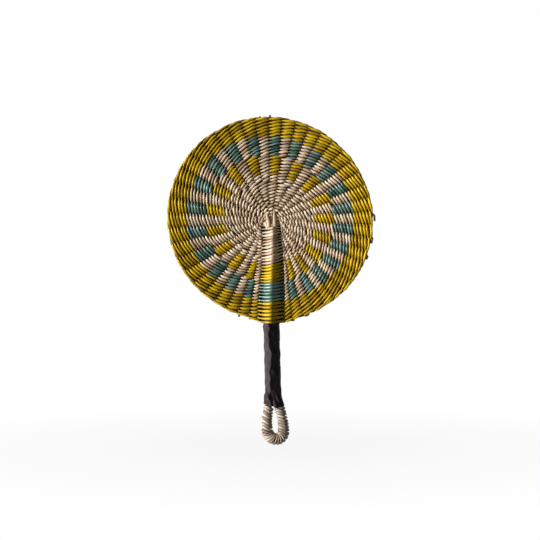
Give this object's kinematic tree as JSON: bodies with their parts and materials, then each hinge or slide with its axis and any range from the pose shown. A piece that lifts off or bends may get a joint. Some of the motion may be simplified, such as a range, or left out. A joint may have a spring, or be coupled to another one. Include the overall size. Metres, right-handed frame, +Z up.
{
  "type": "woven hand fan",
  "caption": "Round hand fan of grass twined over radiating spokes, with a leather-sleeved handle and a grass-wound hanging loop.",
  "frame": {"origin": "middle of the leather grip, on the handle's axis", "axes": "+Z up the handle to the disc, -Y the front face, +X to the right seen from the front"},
  "size_m": [0.2798, 0.0272, 0.4461],
  "materials": {
    "natural_grass": "undyed dry grass, satin",
    "yellow_grass": "grass dyed mustard yellow, satin",
    "teal_grass": "grass dyed grey teal, satin",
    "straw_bundle": "bundled dry straw, matt",
    "black_leather": "thin black-brown leather, worn and slightly glossy"
  },
  "bodies": {
    "root": {"natural_weave": "natural_grass", "yellow_block_weave": "yellow_grass", "teal_block_weave": "teal_grass", "yellow_rim_weave": "yellow_grass", "rim_border": "yellow_grass", "loop_winding": "natural_grass", "leather_sleeve": "black_leather", "loop_hairpin": "straw_bundle", "handle_filler_front": "straw_bundle", "handle_filler_back": "straw_bundle", "packing_straw_front_left": "straw_bundle", "packing_straw_back_left": "straw_bundle", "packing_straw_front_right": "straw_bundle", "packing_straw_back_right": "straw_bundle", "spoke_01": "straw_bundle", "spoke_02": "straw_bundle", "spoke_03": "straw_bundle", "spoke_04": "straw_bundle", "spoke_05": "straw_bundle", "spoke_06": "straw_bundle", "spoke_07": "straw_bundle", "spoke_08": "straw_bundle", "spoke_09": "straw_bundle", "spoke_10": "straw_bundle", "spoke_11": "straw_bundle", "spoke_12": "straw_bundle", "spoke_13": "straw_bundle", "spoke_14": "straw_bundle", "spoke_15": "straw_bundle", "spoke_16": "straw_bundle", "spoke_17": "straw_bundle", "spoke_18": "straw_bundle", "spoke_19": "straw_bundle", "spoke_20": "straw_bundle", "spoke_21": "straw_bundle", "spoke_22": "straw_bundle", "spoke_23": "straw_bundle", "spoke_24": "straw_bundle", "spoke_25": "straw_bundle", "spoke_26": "straw_bundle", "spoke_27": "straw_bundle", "spoke_28": "straw_bundle", "spoke_29": "straw_bundle", "spoke_30": "straw_bundle", "spoke_31": "straw_bundle", "spoke_32": "straw_bundle", "spoke_33": "straw_bundle", "spoke_34": "straw_bundle", "spoke_35": "straw_bundle", "spoke_36": "straw_bundle", "spoke_37": "straw_bundle", "spoke_38": "straw_bundle", "spoke_39": "straw_bundle", "spoke_40": "straw_bundle", "spoke_41": "straw_bundle", "spoke_42": "straw_bundle", "spoke_43": "straw_bundle", "spoke_44": "straw_bundle", "spoke_45": "straw_bundle"}
  },
  "joints": []
}
